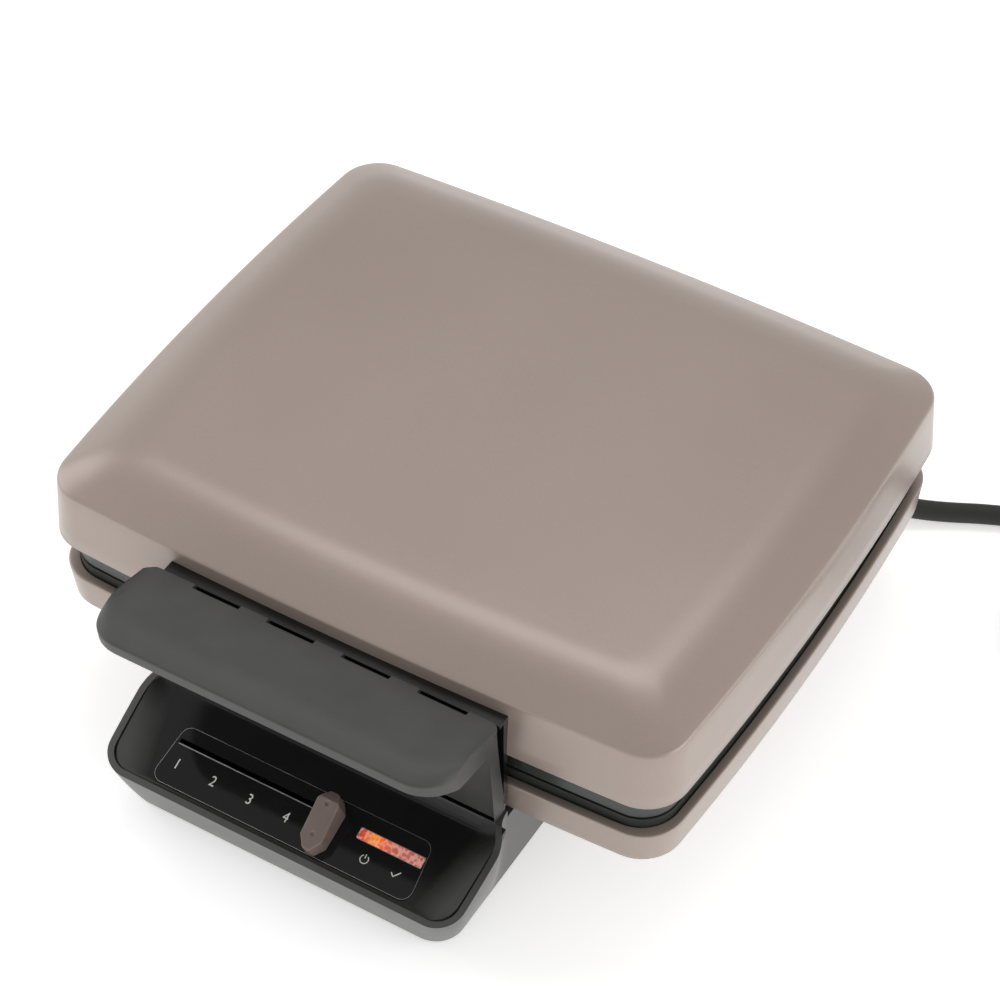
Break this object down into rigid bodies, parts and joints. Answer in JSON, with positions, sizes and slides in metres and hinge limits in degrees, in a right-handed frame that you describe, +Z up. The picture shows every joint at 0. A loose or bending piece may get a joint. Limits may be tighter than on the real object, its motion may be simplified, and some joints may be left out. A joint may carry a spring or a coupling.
{
  "type": "waffle maker",
  "caption": "Rectangular waffle maker with a hinged crowned lid, a wing-shaped front handle over a sloping slider console, indicator window and mains cord.",
  "frame": {"origin": "on the surface that the appliance stands on, under the middle of its box, cord left out", "axes": "+Z up, -Y towards the handle and console at the front, +X to the right of someone who faces the front"},
  "size_m": [0.412, 0.316, 0.1016],
  "materials": {
    "body_lacquer": "satin taupe lacquer on pressed sheet",
    "black_moulding": "finely grained black moulding",
    "console_black": "satin black moulding",
    "gloss_black": "polished black panel",
    "frame_black": "glossy heat-proof black moulding",
    "plate_coating": "dark non-stick coating on cast aluminium",
    "heater_steel": "steel tube with light heat tint",
    "bright_sheet": "plain bright sheet",
    "hinge_steel": "zinc-plated steel",
    "screw_steel": "zinc-plated steel",
    "knob_taupe": "dark taupe moulding",
    "window_clear": "clear ribbed lens",
    "lamp_amber": "clear amber lamp",
    "carriage_white": "natural nylon",
    "board_green": "laminate",
    "terminal_white": "white polyamide",
    "wire_white": "heat-proof wire sleeving",
    "foot_rubber": "soft black rubber",
    "cord_black": "round black mains cord",
    "plug_black": "moulded black plug",
    "pin_nickel": "nickel-plated brass"
  },
  "bodies": {
    "base": {"lower_grid_pegs": "plate_coating", "lower_shell": "body_lacquer", "lower_frame": "frame_black", "lower_grid_plate": "plate_coating", "lower_heating_element": "heater_steel", "lower_reflector": "bright_sheet", "lower_element_clips": "hinge_steel", "lower_thermal_fuse": "wire_white", "hinge_bracket_left": "hinge_steel", "hinge_bracket_right": "hinge_steel", "hinge_pin_left": "screw_steel", "hinge_pin_right": "screw_steel", "base_housing": "console_black", "console_fascia": "console_black", "control_panel": "gloss_black", "indicator_window": "window_clear", "slider_rail": "screw_steel", "thermostat": "terminal_white", "lamp_board": "board_green", "power_lamp": "lamp_amber", "ready_lamp": "lamp_amber", "terminal_block": "terminal_white", "inner_wires": "wire_white", "cord_clamp": "console_black", "cord_tail": "cord_black", "base_plate": "black_moulding", "screw_posts": "console_black", "base_screws": "screw_steel", "feet": "foot_rubber", "cord_protector": "plug_black", "power_cord": "cord_black", "cord_coil": "cord_black", "plug_body": "plug_black", "plug_pins": "pin_nickel"},
    "lid": {"lid_cover": "body_lacquer", "upper_frame": "frame_black", "upper_grid_plate": "plate_coating", "upper_grid_pegs": "plate_coating", "upper_heating_element": "heater_steel", "upper_reflector": "bright_sheet", "upper_element_clips": "hinge_steel", "upper_thermal_fuse": "wire_white", "handle_grip": "black_moulding", "handle_bracket": "console_black", "handle_screws": "screw_steel", "hinge_arm_left": "hinge_steel", "hinge_arm_right": "hinge_steel", "hinge_arm_screws": "screw_steel"},
    "slider": {"slider_knob": "knob_taupe", "slider_carriage": "carriage_white"},
    "lever": {"thermostat_lever": "carriage_white"}
  },
  "joints": [
    {"name": "lid_hinge", "type": "hinge", "parent": "base", "child": "lid", "pos_m": [0, 0.132, 0.052], "axis": [-1, 0, 0], "range_deg": [0, 105]},
    {"name": "heat_slide", "type": "slide", "parent": "base", "child": "slider", "axis": [1, 0, 0], "range_m": [-0.0612, 0]},
    {"name": "thermostat_turn", "type": "hinge", "parent": "base", "child": "lever", "pos_m": [-0.0168, -0.056, 0.0125], "axis": [0, 0, 1], "range_deg": [-52.6, 0]}
  ],
  "couplings": [
    {"joint": "thermostat_turn", "follows": "heat_slide", "rad_per_m": 14.98}
  ]
}
